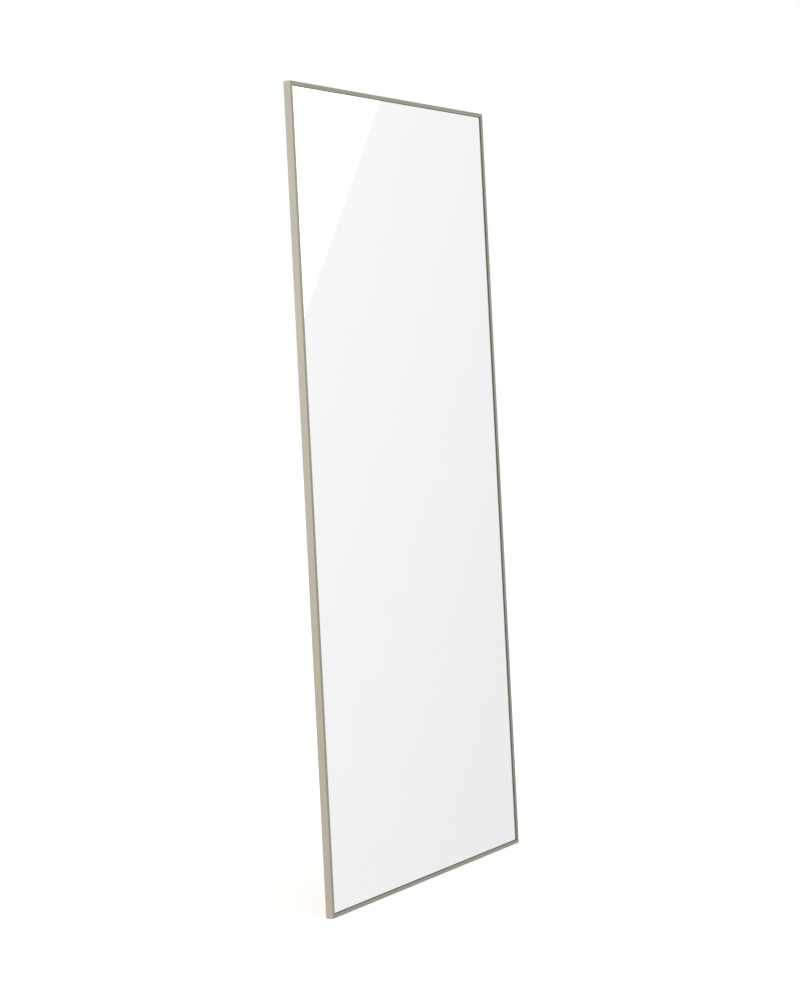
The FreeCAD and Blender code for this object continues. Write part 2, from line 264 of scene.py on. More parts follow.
def gathered(placements):
    """One mesh from (mesh, matrix) pairs."""
    bm = bmesh.new()
    for mesh, matrix in placements:
        before = len(bm.verts)
        bm.from_mesh(mesh)
        bm.verts.ensure_lookup_table()
        bmesh.ops.transform(bm, matrix=matrix, verts=bm.verts[before:])
    result = bpy.data.meshes.new("gathered")
    bm.to_mesh(result)
    bm.free()
    return result


def new_piece(name, mesh, material, node, body=MAIN_BODY, smooth_angle=SMOOTH_ANGLE):
    """Piece that stands for a node and moves with its body."""
    mesh.name = name
    mesh.materials.clear()
    mesh.materials.append(material)
    mesh.shade_smooth()
    mesh.set_sharp_from_angle(angle=smooth_angle)
    piece = in_scene(name, mesh)
    even = piece.modifiers.new("even_shading", "WEIGHTED_NORMAL")
    even.keep_sharp = True
    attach(piece, body)
    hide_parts(node)


def separate_places(node):
    """X, Z, lowest Y and highest Y of each separate solid in a node of screws."""
    groups = []
    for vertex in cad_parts[node].data.vertices:
        point = vertex.co
        for group in groups:
            if math.hypot(group[0].x - point.x, group[0].z - point.z) < SCREW_SPACING:
                group.append(point)
                break
        else:
            groups.append([point])
    places = []
    for group in groups:
        across = [point.x for point in group]
        rise = [point.z for point in group]
        depth = [point.y for point in group]
        x = (min(across) + max(across)) / 2
        z = (min(rise) + max(rise)) / 2
        places.append((x, z, min(depth), max(depth)))
    return places


# Shader helpers

FULL = (0.0, 1.0)
NOISE_RANGE = (0.3, 0.7)
PAIR_RANGE = (0.7, 1.3)
ARRIS_RANGE = (0.995, 0.8)
ARRIS_SAMPLES = 4


class NodeKit:
    """Short calls for the nodes of a shader tree."""

    def __init__(self, tree):
        self.tree = tree

    def add(self, kind, **settings):
        """New node with its settings."""
        node = self.tree.nodes.new("ShaderNode" + kind)
        for name, value in settings.items():
            setattr(node, name, value)
        return node

    def feed(self, socket, source):
        """Link an output to a socket, or set the socket's own value."""
        if isinstance(source, bpy.types.NodeSocket):
            self.tree.links.new(source, socket)
        else:
            socket.default_value = source

    def span(self, value, source, target, smooth=False):
        """Value carried from one range to another."""
        node = self.add("MapRange", interpolation_type="SMOOTHSTEP" if smooth else "LINEAR")
        self.feed(node.inputs["Value"], value)
        for name, number in zip(("From Min", "From Max", "To Min", "To Max"), (*source, *target)):
            node.inputs[name].default_value = number
        return node.outputs["Result"]

    def mix(self, share, first, second, kind="FLOAT"):
        """Value between two values of one kind, numbers unless said."""
        node = self.add("Mix", data_type=kind)
        self.feed(node.inputs["Factor"], share)
        self.feed(node.inputs["A"], first)
        self.feed(node.inputs["B"], second)
        return node.outputs["Result"]

    def blend(self, share, first, second):
        """Colour between two colours."""
        return self.mix(share, first, second, "RGBA")

    def combine(self, first, second, operation="ADD"):
        """Two numbers added, or joined by another operation."""
        node = self.add("Math", operation=operation)
        self.feed(node.inputs[0], first)
        self.feed(node.inputs[1], second)
        return node.outputs["Value"]

    def split(self, vector):
        """X, Y and Z of a vector."""
        node = self.add("SeparateXYZ")
        self.feed(node.inputs["Vector"], vector)
        return node.outputs

    def dot(self, first, second):
        """How far two directions agree."""
        node = self.add("VectorMath", operation="DOT_PRODUCT")
        self.feed(node.inputs[0], first)
        self.feed(node.inputs[1], second)
        return node.outputs["Value"]

    def levels(self, value, reach, stops):
        """Grey level through (value, level) stops between minus and plus a reach."""
        node = self.add("ValToRGB")
        self.feed(node.inputs["Fac"], self.span(value, (-reach, reach), FULL))
        elements = node.color_ramp.elements
        while len(elements) < len(stops):
            elements.new(0.5)
        for element, (place, level) in zip(elements, sorted(stops)):
            element.position = place / reach / 2 + 0.5
            element.color = (level, level, level, 1.0)
        return node.outputs["Color"]

    def mirrored(self, rays):
        """1 for rays that come off a glossy surface or through a clear one."""
        return self.combine(rays["Is Glossy Ray"], rays["Is Transmission Ray"], "MAXIMUM")

    def both(self, first, second):
        """Two shaders added."""
        node = self.add("AddShader")
        self.feed(node.inputs[0], first)
        self.feed(node.inputs[1], second)
        return node.outputs["Shader"]

    def either(self, share, first, second):
        """Two shaders mixed."""
        node = self.add("MixShader")
        self.feed(node.inputs["Fac"], share)
        self.feed(node.inputs[1], first)
        self.feed(node.inputs[2], second)
        return node.outputs["Shader"]


class Surface(NodeKit):
    """Material with a Principled shader."""

    def __init__(self, name):
        self.material = bpy.data.materials.new(name)
        self.material.use_nodes = True
        super().__init__(self.material.node_tree)
        self.shader = self.tree.nodes["Principled BSDF"]

    def set(self, **values):
        """Values or outputs for the shader's sockets; underscores stand for spaces."""
        for name, value in values.items():
            self.feed(self.shader.inputs[name.replace("_", " ")], value)

    def show(self, shader):
        """Use another shader in place of the Principled one."""
        self.feed(self.tree.nodes["Material Output"].inputs["Surface"], shader)

    def place(self, scale=(1.0, 1.0, 1.0), turn=(0.0, 0.0, 0.0)):
        """The object's own coordinates, stretched and turned."""
        source = self.add("TexCoord")
        mapping = self.add("Mapping")
        self.feed(mapping.inputs["Vector"], source.outputs["Object"])
        mapping.inputs["Scale"].default_value = scale
        mapping.inputs["Rotation"].default_value = turn
        return mapping.outputs["Vector"]

    def noise(self, place, scale, detail=4.0, roughness=0.55, distortion=0.0):
        """Soft random pattern."""
        node = self.add("TexNoise")
        self.feed(node.inputs["Vector"], place)
        node.inputs["Scale"].default_value = scale
        node.inputs["Detail"].default_value = detail
        node.inputs["Roughness"].default_value = roughness
        node.inputs["Distortion"].default_value = distortion
        return node.outputs["Fac"]

    def cells(self, place, scale, output="Distance"):
        """Pattern of random cells."""
        node = self.add("TexVoronoi")
        self.feed(node.inputs["Vector"], place)
        node.inputs["Scale"].default_value = scale
        return node.outputs[output]

    def relief(self, height, distance, strength):
        """Normal from a height of some distance."""
        node = self.add("Bump")
        self.feed(node.inputs["Height"], height)
        node.inputs["Distance"].default_value = distance
        node.inputs["Strength"].default_value = strength
        return node.outputs["Normal"]

    def arris(self, radius):
        """Share from 0 on flat faces to 1 on rounded-off edges."""
        bevel = self.add("Bevel", samples=ARRIS_SAMPLES)
        bevel.inputs["Radius"].default_value = radius
        geometry = self.add("NewGeometry")
        facing = self.dot(bevel.outputs["Normal"], geometry.outputs["Normal"])
        return self.span(facing, ARRIS_RANGE, FULL)


# Frame metal

FRAME_DARK = (0.311, 0.298, 0.243, 1.0)
FRAME_LIGHT = (0.378, 0.364, 0.301, 1.0)
FRAME_WARM = (0.362, 0.338, 0.271, 1.0)
# Lighter colour for the rounded edges: partly edge wear, partly a painted highlight along the arrises.
FRAME_EDGE_WEAR_AND_HIGHLIGHT = (0.49, 0.475, 0.41, 1.0)
FRAME_ROUGHNESS = (0.31, 0.43)
FRAME_CLOUDS = 7.0
FRAME_WARM_SHARE = (0.0, 0.35)
FRAME_EDGE_RADIUS = 0.6 * MM
WEAR_RANGE = (0.35, 0.65)
WEAR_SHARE = (0.2, 0.6)
BRUSH_STRETCH = 0.012
BRUSH_LINES = 2600.0
BRUSH_STREAKS = 620.0
BRUSH_DEPTH = 0.012 * MM
BRUSH_RELIEF = 0.6
STREAK_RANGE = (0.52, 0.75)
STREAK_SHARE = (0.0, 0.3)


def brushed_metal(name, along):
    """Satin champagne metal, brushed along one axis."""
    surface = Surface(name)
    stretch = [1.0, 1.0, 1.0]
    stretch["XYZ".index(along)] = BRUSH_STRETCH
    brushed = surface.place(stretch)
    lines = surface.noise(brushed, BRUSH_LINES, detail=3.0, roughness=0.6)
    streaks = surface.noise(brushed, BRUSH_STREAKS)
    clouds = surface.noise(surface.place(), FRAME_CLOUDS, detail=5.0)
    tone = surface.blend(surface.span(lines, NOISE_RANGE, FULL), FRAME_DARK, FRAME_LIGHT)
    tone = surface.blend(surface.span(clouds, NOISE_RANGE, FRAME_WARM_SHARE), tone, FRAME_WARM)
    tone = surface.blend(surface.span(streaks, STREAK_RANGE, STREAK_SHARE), tone, FRAME_LIGHT)
    # Rounded edges are lightened by at least a fifth everywhere: partly edge wear that varies in clouds,
    # partly a painted highlight along the arrises.
    wear_and_highlight = surface.span(clouds, WEAR_RANGE, WEAR_SHARE)
    lighter_edges = surface.combine(surface.arris(FRAME_EDGE_RADIUS), wear_and_highlight, "MULTIPLY")
    tone = surface.blend(lighter_edges, tone, FRAME_EDGE_WEAR_AND_HIGHLIGHT)
    rough = surface.span(surface.combine(lines, streaks), PAIR_RANGE, FRAME_ROUGHNESS)
    surface.set(Base_Color=tone, Metallic=1.0, Roughness=rough)
    surface.set(Normal=surface.relief(lines, BRUSH_DEPTH, BRUSH_RELIEF))
    return surface.material


# Mirror glass

SILVER = (0.958, 0.958, 0.957, 1.0)
SILVER_COOL = (0.949, 0.951, 0.950, 1.0)
GLASS_EDGE = (0.25, 0.42, 0.35, 1.0)
BACKING_PAINT = (0.20, 0.22, 0.22, 1.0)
BACKING_PAINT_LIGHT = (0.27, 0.29, 0.29, 1.0)
PAINT_GRAIN = 900.0
FRONT_RANGE = (-0.95, -0.9)
BACK_RANGE = (0.5, 0.6)
HAZE = 9.0
HAZE_ROUGHNESS = (0.0, 0.006)
RIM_ROUGHNESS = 0.5


def silvered_glass():
    """Silver behind clear glass; the edges are green glass and the back has grey backing paint."""
    surface = Surface("silvered_glass")
    depth = surface.split(surface.add("NewGeometry").outputs["Normal"])["Y"]
    front = surface.span(depth, FRONT_RANGE, (1.0, 0.0))
    back = surface.span(depth, BACK_RANGE, FULL)
    haze = surface.noise(surface.place(), HAZE, detail=6.0)
    grain = surface.noise(surface.place(), PAINT_GRAIN, detail=3.0)
    silver = surface.blend(surface.span(haze, NOISE_RANGE, FULL), SILVER_COOL, SILVER)
    paint = surface.blend(surface.span(grain, NOISE_RANGE, FULL), BACKING_PAINT, BACKING_PAINT_LIGHT)
    rim = surface.blend(back, GLASS_EDGE, paint)
    rough = surface.mix(front, RIM_ROUGHNESS, surface.span(haze, NOISE_RANGE, HAZE_ROUGHNESS))
    surface.set(Base_Color=surface.blend(front, rim, silver), Metallic=front, Roughness=rough)
    return surface.material


# Rubber and setting block plastic

# The gasket's dark rubber is partly its own colour and partly painted shade: it draws the dark line of shade
# in the recess between the frame's lip and the glass.
GASKET_DARK_AND_SHADE = (0.105, 0.102, 0.09, 1.0)
GASKET_DUSTY = (0.16, 0.155, 0.14, 1.0)
GASKET_GRAIN = 1800.0
GASKET_GLOSS = 0.3
BUMPER_DARK = (0.022, 0.022, 0.023, 1.0)
BUMPER_DUSTY = (0.07, 0.068, 0.065, 1.0)
BUMPER_GRAIN = 1200.0
BLOCK_DARK = (0.05, 0.055, 0.055, 1.0)
BLOCK_DUSTY = (0.10, 0.11, 0.11, 1.0)
BLOCK_GRAIN = 700.0
BLOCK_ROUGHNESS = (0.4, 0.55)
RUBBER_ROUGHNESS = (0.55, 0.75)
RUBBER_GLOSS = 0.35
RUBBER_DEPTH = 0.04 * MM
RUBBER_RELIEF = 0.7
DUST = 90.0
DUST_RANGE = (0.45, 0.75)
DUST_SHARE = (0.0, 0.7)


def rubber(name, dark, dusty, grain, gloss=RUBBER_GLOSS, roughness=RUBBER_ROUGHNESS):
    """Matt rubber with a fine grain and pale dust."""
    surface = Surface(name)
    place = surface.place()
    grains = surface.noise(place, grain, detail=3.0)
    dust = surface.noise(place, DUST, detail=6.0, roughness=0.7)
    tone = surface.blend(surface.span(dust, DUST_RANGE, DUST_SHARE), dark, dusty)
    rough = surface.span(dust, NOISE_RANGE, roughness)
    surface.set(Base_Color=tone, Roughness=rough, Specular_IOR_Level=gloss)
    surface.set(Normal=surface.relief(grains, RUBBER_DEPTH, RUBBER_RELIEF))
    return surface.material


# Fibreboard

BOARD = (0.36, 0.235, 0.125, 1.0)
BOARD_WARM = (0.42, 0.268, 0.14, 1.0)
BOARD_PALE = (0.52, 0.37, 0.22, 1.0)
BOARD_DARK = (0.20, 0.12, 0.06, 1.0)
BOARD_ROUGHNESS = (0.62, 0.85)
BOARD_GLOSS = 0.3
BOARD_DEPTH = 0.08 * MM
BOARD_RELIEF = 0.6
BOARD_CLOUDS = 5.0
FELT = 420.0
FELT_RANGE = (0.35, 0.7)
FELT_SHARE = (0.0, 0.6)
FIBRES = 3.2
FIBRE_BEND = 1.5
LYING_STRETCH = (40.0, 40.0, 400.0)
LYING_TURN = (0.0, 0.5, 0.0)
LYING_RANGE = (0.55, 0.75)
LYING_SHARE = (0.0, 0.45)
STANDING_STRETCH = (400.0, 40.0, 40.0)
STANDING_TURN = (0.0, 0.3, 0.0)
STANDING_RANGE = (0.56, 0.76)
STANDING_SHARE = (0.0, 0.5)
FLECKS = 260.0
FLECK_RANGE = (0.16, 0.04)
FLECK_SHARE = (0.0, 0.55)


def fibreboard():
    """Pressed wood fibre: felted short fibres, darker flecks and soft clouds."""
    surface = Surface("fibreboard")
    place = surface.place()
    clouds = surface.noise(place, BOARD_CLOUDS, detail=6.0, roughness=0.6)
    felt = surface.noise(place, FELT, detail=6.0, roughness=0.7, distortion=1.2)
    lying = surface.noise(surface.place(LYING_STRETCH, LYING_TURN), FIBRES, distortion=FIBRE_BEND)
    standing = surface.noise(surface.place(STANDING_STRETCH, STANDING_TURN), FIBRES, distortion=FIBRE_BEND)
    flecks = surface.cells(place, FLECKS)
    tone = surface.blend(surface.span(clouds, NOISE_RANGE, FULL), BOARD, BOARD_WARM)
    tone = surface.blend(surface.span(felt, FELT_RANGE, FELT_SHARE), tone, BOARD_PALE)
    tone = surface.blend(surface.span(lying, LYING_RANGE, LYING_SHARE), tone, BOARD_PALE)
    tone = surface.blend(surface.span(standing, STANDING_RANGE, STANDING_SHARE), tone, BOARD_DARK)
    tone = surface.blend(surface.span(flecks, FLECK_RANGE, FLECK_SHARE), tone, BOARD_DARK)
    rough = surface.span(felt, NOISE_RANGE, BOARD_ROUGHNESS)
    surface.set(Base_Color=tone, Roughness=rough, Specular_IOR_Level=BOARD_GLOSS)
    height = surface.combine(felt, surface.combine(lying, standing))
    surface.set(Normal=surface.relief(height, BOARD_DEPTH, BOARD_RELIEF))
    return surface.material


# Plated steel of the straps, plates, rings and screws

ZINC_DARK = (0.42, 0.44, 0.46, 1.0)
ZINC_LIGHT = (0.62, 0.64, 0.655, 1.0)
ZINC_ROUGHNESS = (0.26, 0.42)
ZINC_CRYSTAL_SHARE = 0.6
SCREW_DARK = (0.46, 0.46, 0.45, 1.0)
SCREW_LIGHT = (0.62, 0.615, 0.60, 1.0)
SCREW_ROUGHNESS = (0.2, 0.36)
RING_DARK = (0.50, 0.495, 0.48, 1.0)
RING_LIGHT = (0.68, 0.67, 0.65, 1.0)
RING_ROUGHNESS = (0.14, 0.28)
STEEL_EDGE = (0.82, 0.82, 0.82, 1.0)
STEEL_CLOUDS = 130.0
STEEL_WEAR_RADIUS = 0.25 * MM
STEEL_WEAR_SHARE = 0.5
SCRATCHES = 2400.0
SCRATCH_STRETCH = (1.0, 1.0, 0.03)
SCRATCH_TURN = (0.4, 0.7, 0.2)
SCRATCH_DEPTH = 0.008 * MM
SCRATCH_RELIEF = 0.5
CRYSTALS = 340.0
CRYSTAL_RANGE = (0.2, 0.8)


def plated_steel(name, dark, light, roughness, crystal_share=0.0):
    """Plated steel with soft clouds, fine scratches and, if asked, crystals in the plating."""
    surface = Surface(name)
    place = surface.place()
    clouds = surface.noise(place, STEEL_CLOUDS, detail=5.0)
    scratches = surface.noise(surface.place(SCRATCH_STRETCH, SCRATCH_TURN), SCRATCHES, detail=2.0)
    tone = surface.blend(surface.span(clouds, NOISE_RANGE, FULL), dark, light)
    rough = surface.span(surface.combine(clouds, scratches), PAIR_RANGE, roughness)
    if crystal_share > 0:
        shade = surface.add("RGBToBW")
        surface.feed(shade.inputs["Color"], surface.cells(place, CRYSTALS, "Color"))
        crystals = surface.span(shade.outputs["Val"], CRYSTAL_RANGE, (0.0, crystal_share))
        tone = surface.blend(crystals, tone, dark)
    lighter_edges = surface.combine(surface.arris(STEEL_WEAR_RADIUS), STEEL_WEAR_SHARE, "MULTIPLY")
    tone = surface.blend(lighter_edges, tone, STEEL_EDGE)
    surface.set(Base_Color=tone, Metallic=1.0, Roughness=rough)
    surface.set(Normal=surface.relief(scratches, SCRATCH_DEPTH, SCRATCH_RELIEF))
    return surface.material


# Mounting tape foam

FOAM_DARK = (0.55, 0.55, 0.53, 1.0)
FOAM_LIGHT = (0.80, 0.80, 0.78, 1.0)
FOAM_CELLS = 1500.0
FOAM_RANGE = (0.1, 0.6)
FOAM_ROUGHNESS = (0.9, 0.75)
FOAM_DEPTH = 0.15 * MM
FOAM_RELIEF = 0.7


def foam():
    """Closed-cell foam."""
    surface = Surface("foam")
    cells = surface.cells(surface.place(), FOAM_CELLS)
    tone = surface.blend(surface.span(cells, FOAM_RANGE, FULL), FOAM_DARK, FOAM_LIGHT)
    surface.set(Base_Color=tone, Roughness=surface.span(cells, FOAM_RANGE, FOAM_ROUGHNESS))
    surface.set(Normal=surface.relief(cells, FOAM_DEPTH, FOAM_RELIEF))
    return surface.material


# Safety film

FILM = (0.62, 0.68, 0.72, 1.0)
FILM_THREAD = (0.82, 0.85, 0.86, 1.0)
FILM_NET = 40.0
FILM_NET_BEND = 0.3
FILM_THREAD_RANGE = (0.9, 1.0)
FILM_WRINKLES = 30.0
FILM_ROUGHNESS = (0.35, 0.5)
FILM_DEPTH = 0.1 * MM
FILM_RELIEF = 0.6


def scrim_film():
    """Pale film over a net of reinforcing threads."""
    surface = Surface("scrim_film")
    threads = []
    for along in ("X", "Z"):
        wave = surface.add("TexWave", bands_direction=along, wave_profile="SIN")
        surface.feed(wave.inputs["Vector"], surface.place())
        wave.inputs["Scale"].default_value = FILM_NET
        wave.inputs["Distortion"].default_value = FILM_NET_BEND
        threads.append(surface.span(wave.outputs["Fac"], FILM_THREAD_RANGE, FULL))
    net = surface.combine(*threads, "MAXIMUM")
    wrinkles = surface.noise(surface.place(), FILM_WRINKLES, detail=5.0)
    tone = surface.blend(net, FILM, FILM_THREAD)
    surface.set(Base_Color=tone, Roughness=surface.span(wrinkles, NOISE_RANGE, FILM_ROUGHNESS))
    surface.set(Normal=surface.relief(surface.combine(net, wrinkles), FILM_DEPTH, FILM_RELIEF))
    return surface.material


# Materials of the pieces, and the nodes that stay as they are

upright_metal = brushed_metal("champagne_brushed_upright", "Z")
level_metal = brushed_metal("champagne_brushed_level", "X")
glass = silvered_glass()
gasket_rubber_and_shade = rubber("gasket_rubber_and_shade", GASKET_DARK_AND_SHADE, GASKET_DUSTY, GASKET_GRAIN, GASKET_GLOSS)
bumper_rubber = rubber("bumper_rubber", BUMPER_DARK, BUMPER_DUSTY, BUMPER_GRAIN)
block_plastic = rubber("block_plastic", BLOCK_DARK, BLOCK_DUSTY, BLOCK_GRAIN, roughness=BLOCK_ROUGHNESS)
board = fibreboard()
zinc = plated_steel("zinc_steel", ZINC_DARK, ZINC_LIGHT, ZINC_ROUGHNESS, ZINC_CRYSTAL_SHARE)
screw_steel = plated_steel("screw_steel", SCREW_DARK, SCREW_LIGHT, SCREW_ROUGHNESS)
ring_steel = plated_steel("ring_steel", RING_DARK, RING_LIGHT, RING_ROUGHNESS)
tape_foam = foam()
film = scrim_film()


def dress(node, material):
    """Give a node that stays as it is its finish."""
    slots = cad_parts[node].data.materials
    slots.clear()
    slots.append(material)


for side in SIDES:
    dress("frame_" + side, upright_metal if side.endswith("stile") else level_metal)
    # Dark gasket rubber: a real seal whose colour also paints the shade in the recess inside the frame's
    # lip.
    dress("gasket_" + side, gasket_rubber_and_shade)
dress("mirror_glass", glass)
dress("safety_film", film)
dress("back_panel", board)
for hand in HANDS:
    dress("setting_block_" + hand, block_plastic)
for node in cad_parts:
    if node.startswith("mounting_tape"):
        dress(node, tape_foam)


# Screws

def thread_rows(tip, neck):
    """Rings of a threaded shank from its point up to a plain neck, heights measured from the seat."""
    rings = []
    count = round((neck - tip) / THREAD_PITCH * THREAD_ROWS)
    for row in range(count + 1):
        height = tip + (neck - tip) * row / count
        taper = min(1.0, (height - tip) / SCREW_POINT)
        fade = min(1.0, (neck - height) / THREAD_PITCH)
        ring = []
        for index in range(SCREW_SEGMENTS):
            share = index / SCREW_SEGMENTS
            phase = (height / THREAD_PITCH - share) % 1.0
            ridge = max(0.0, 1.0 - abs(phase - 0.5) / THREAD_RIDGE_SHARE) * fade
            full = THREAD_ROOT + (THREAD_CREST - THREAD_ROOT) * ridge
            radius = POINT_RADIUS + (full - POINT_RADIUS) * taper
            turn = 2 * math.pi * share
            ring.append((radius * math.cos(turn), radius * math.sin(turn), height))
        rings.append(ring)
    return rings


def recess_tool(crown):
    """Cross-shaped tapered tool that cuts the drive recess down from the crown's height."""
    arm, half = RECESS_ARM, RECESS_HALF_WIDTH
    cross = []
    for quarter in range(4):
        turn = Matrix.Rotation(quarter * QUARTER, 2)
        for point in ((arm, -half), (arm, half), (half, half)):
            cross.append(turn @ Vector(point))
    sections = (
        (RECESS_FLARE, crown + RECESS_DEPTH / 4),
        (1.0, crown),
        (RECESS_TAPER, crown - RECESS_DEPTH),
    )
    rings = [[(x * share, y * share, height) for x, y in cross] for share, height in sections]
    return skin(rings, closed=False)


def screw(tip, head):
    """Threaded screw; head is (radius, height) stations from the neck to the crown, the seat at height 0."""
    rings = thread_rows(tip, head[0][1] - PLAIN_NECK) + turned_rings(head, SCREW_SEGMENTS)
    crown = head[-1][1]
    return cut(skin(rings, closed=False), [recess_tool(crown)])


def pan_head():
    """Stations of a domed head above its seat."""
    stations = [
        (THREAD_ROOT, 0.0),
        (PAN_RADIUS - HEAD_EDGE, 0.0),
        (PAN_RADIUS, HEAD_EDGE),
        (PAN_RADIUS, PAN_RIM),
    ]
    for row in range(1, PAN_ROWS + 1):
        turn = QUARTER * row / (PAN_ROWS + 1)
        radius = PAN_RADIUS * math.cos(turn) ** PAN_FULLNESS
        stations.append((radius, PAN_RIM + (PAN_HEIGHT - PAN_RIM) * math.sin(turn)))
    stations.append((CROWN_RADIUS, PAN_HEIGHT))
    return stations


def flat_head():
    """Stations of a countersunk head that ends flush at height 0."""
    neck = -FLAT_RIM - (FLAT_RADIUS - THREAD_ROOT)
    return [
        (THREAD_ROOT, neck),
        (FLAT_RADIUS, -FLAT_RIM),
        (FLAT_RADIUS, -FLAT_EDGE_DROP),
        (FLAT_RADIUS - HEAD_EDGE, 0.0),
        (CROWN_RADIUS, 0.0),
    ]


screw_count = 0
made_screws = {}
for node in sorted(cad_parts):
    if "_screw" not in node:
        continue
    flat = node.startswith("corner")
    placements = []
    for x, z, tip, crown in separate_places(node):
        seat = crown if flat else crown - PAN_HEIGHT
        length = round((seat - tip) / MM, 2)
        if (flat, length) not in made_screws:
            made_screws[flat, length] = screw(tip - seat, flat_head() if flat else pan_head())
        screw_count += 1
        matrix = placed_along_y(x, seat, z, screw_count * SCREW_TURN_STEP)
        placements.append((made_screws[flat, length], matrix))
    new_piece(node + "_threaded", gathered(placements), screw_steel, node)


# Hanger rings

def ring_path(low, high):
    """Flat centre line (across, rise) of the ring's wire."""
    half = (high.x - low.x) / 2 - RING_WIRE_RADIUS
    bar = high.z - RING_WIRE_RADIUS
    bow = low.z + RING_WIRE_RADIUS + half
    corner = RING_CORNER_RADIUS
    path = arc((half - corner, bar - corner), corner, QUARTER, 0.0, RING_CORNER_STEPS)
    path += arc((0.0, bow), half, 0.0, -2 * QUARTER, RING_BOW_STEPS)
    path += arc((corner - half, bar - corner), corner, 2 * QUARTER, QUARTER, RING_CORNER_STEPS)
    return path


def hanger_ring(low, high):
    """Wire of round section bent to a D."""
    path = ring_path(low, high)
    middle_x = (low.x + high.x) / 2
    middle_y = (low.y + high.y) / 2
    rings = []
    for index, (across, rise) in enumerate(path):
        before = Vector(path[index - 1])
        after = Vector(path[(index + 1) % len(path)])
        along = (after - before).normalized()
        outward = Vector((-along.y, along.x))
        ring = []
        for a, b in circle(RING_WIRE_RADIUS, RING_SECTION_SIDES):
            ring.append((middle_x + across + outward.x * a, middle_y + b, rise + outward.y * a))
        rings.append(ring)
    return skin(rings, closed=True)


for hand in HANDS:
    node = "hanger_ring_" + hand
    mesh = hanger_ring(*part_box(node))
    new_piece(node + "_wire", mesh, ring_steel, node, hand + "_ring", FINE_SMOOTH_ANGLE)


# Hanger straps

def rounded_path(points, radius, steps):
    """Open line with its inner corners rounded."""
    path = [points[0]]
    for before, here, after in zip(points, points[1:], points[2:]):
        back = (before - here).normalized()
        ahead = (after - here).normalized()
        half_angle = back.angle(ahead) / 2
        run = min(radius / math.tan(half_angle), (before - here).length / 2, (after - here).length / 2)
        start = here + back * run
        end = here + ahead * run
        for step in range(steps + 1):
            share = step / steps
            path.append(start * (1 - share) ** 2 + here * 2 * share * (1 - share) + end * share ** 2)
    path.append(points[-1])
    return path


def strap_line(low):
    """Middle line (rise, depth) of the strap from its round end to the open end of its knuckle."""
    half = STRAP_THICKNESS / 2
    knuckle = RING_WIRE_RADIUS + KNUCKLE_CLEARANCE + half
    axis_rise = low.z + STRAP_LENGTH
    base = low.y + half
    axis_depth = base + STRAP_STEP + knuckle
    corners = [
        Vector((low.z + STRAP_END_ROUND, base)),
        Vector((axis_rise - STRAP_STEP_START - STRAP_STEP_RUN, base)),
        Vector((axis_rise - STRAP_STEP_START, base + STRAP_STEP)),
        Vector((axis_rise, base + STRAP_STEP)),
    ]
    end_rows = []
    for row in range(STRAP_END_ROWS):
        turn = QUARTER * row / STRAP_END_ROWS
        end_rows.append(Vector((low.z + STRAP_END_ROUND * (1 - math.cos(turn)), base)))
    line = end_rows + rounded_path(corners, STRAP_BEND_ROUND, ROUND_STEPS)
    roll = arc((axis_rise, axis_depth), knuckle, -QUARTER, KNUCKLE_SWEEP - QUARTER, KNUCKLE_STEPS)
    return line + [Vector(point) for point in roll[1:]]


def strap_half_width(low, high, rise, index):
    """Half of the strap's width, less in its rounded end."""
    full = (high.x - low.x) / 2
    if index >= STRAP_END_ROWS:
        return full
    inset = STRAP_END_ROUND - (rise - low.z)
    return full - STRAP_END_ROUND + math.sqrt(STRAP_END_ROUND ** 2 - inset ** 2)


def hole_tools(stations, screws, depth):
    """Turned tools for the holes of a row of screws, their height 0 at a depth on the mirror's back."""
    tools = []
    for x, z, _, _ in screws:
        tool = skin(turned_rings(stations, HOLE_SEGMENTS), closed=False)
        tool.transform(placed_along_y(x, depth, z))
        tools.append(tool)
    return tools


def hanger_strap(low, high, screws):
    """Stamped strap with eased edges, a step and a rolled knuckle."""
    line = strap_line(low)
    middle = (low.x + high.x) / 2
    half = STRAP_THICKNESS / 2
    rings = []
    for index, point in enumerate(line):
        before = line[max(index - 1, 0)]
        after = line[min(index + 1, len(line) - 1)]
        along = (after - before).normalized()
        across = Vector((-along.y, along.x)) * half
        width = strap_half_width(low, high, point.x, index)
        ring = []
        for side, offset in ((-1, -1), (1, -1), (1, 1), (-1, 1)):
            edge = point + across * offset
            ring.append((middle + side * width, edge.y, edge.x))
        rings.append(ring)
    hole = [(STRAP_HOLE_RADIUS, -STRAP_THICKNESS), (STRAP_HOLE_RADIUS, 2 * STRAP_THICKNESS)]
    return eased(cut(skin(rings, closed=False), hole_tools(hole, screws, low.y)), STAMPED_EDGE)


for hand in HANDS:
    node = "hanger_strap_" + hand
    mesh = hanger_strap(*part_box(node), separate_places("hanger_screws_" + hand))
    new_piece(node + "_stamped", mesh, zinc, node)


# Corner plates

def plate_outline(low, high, corner):
    """Flat outline (x, z) of an angle plate, its corners rounded."""
    hand = -1 if corner.endswith("left") else 1
    rise = -1 if corner.startswith("bottom") else 1
    outer = Vector((high.x if hand > 0 else low.x, high.z if rise > 0 else low.z))
    legs = Vector((high.x - low.x, high.z - low.z))
    insets = [
        (0.0, 0.0),
        (legs.x, 0.0),
        (legs.x, PLATE_ARM),
        (PLATE_ARM, PLATE_ARM),
        (PLATE_ARM, legs.y),
        (0.0, legs.y),
    ]
    points = [Vector((outer.x - hand * a, outer.y - rise * b)) for a, b in insets]
    outline = []
    for index, here in enumerate(points):
        trio = [points[index - 1], here, points[(index + 1) % len(points)]]
        outline.extend(rounded_path(trio, PLATE_ROUND, PLATE_ROUND_STEPS)[1:-1])
    return outline


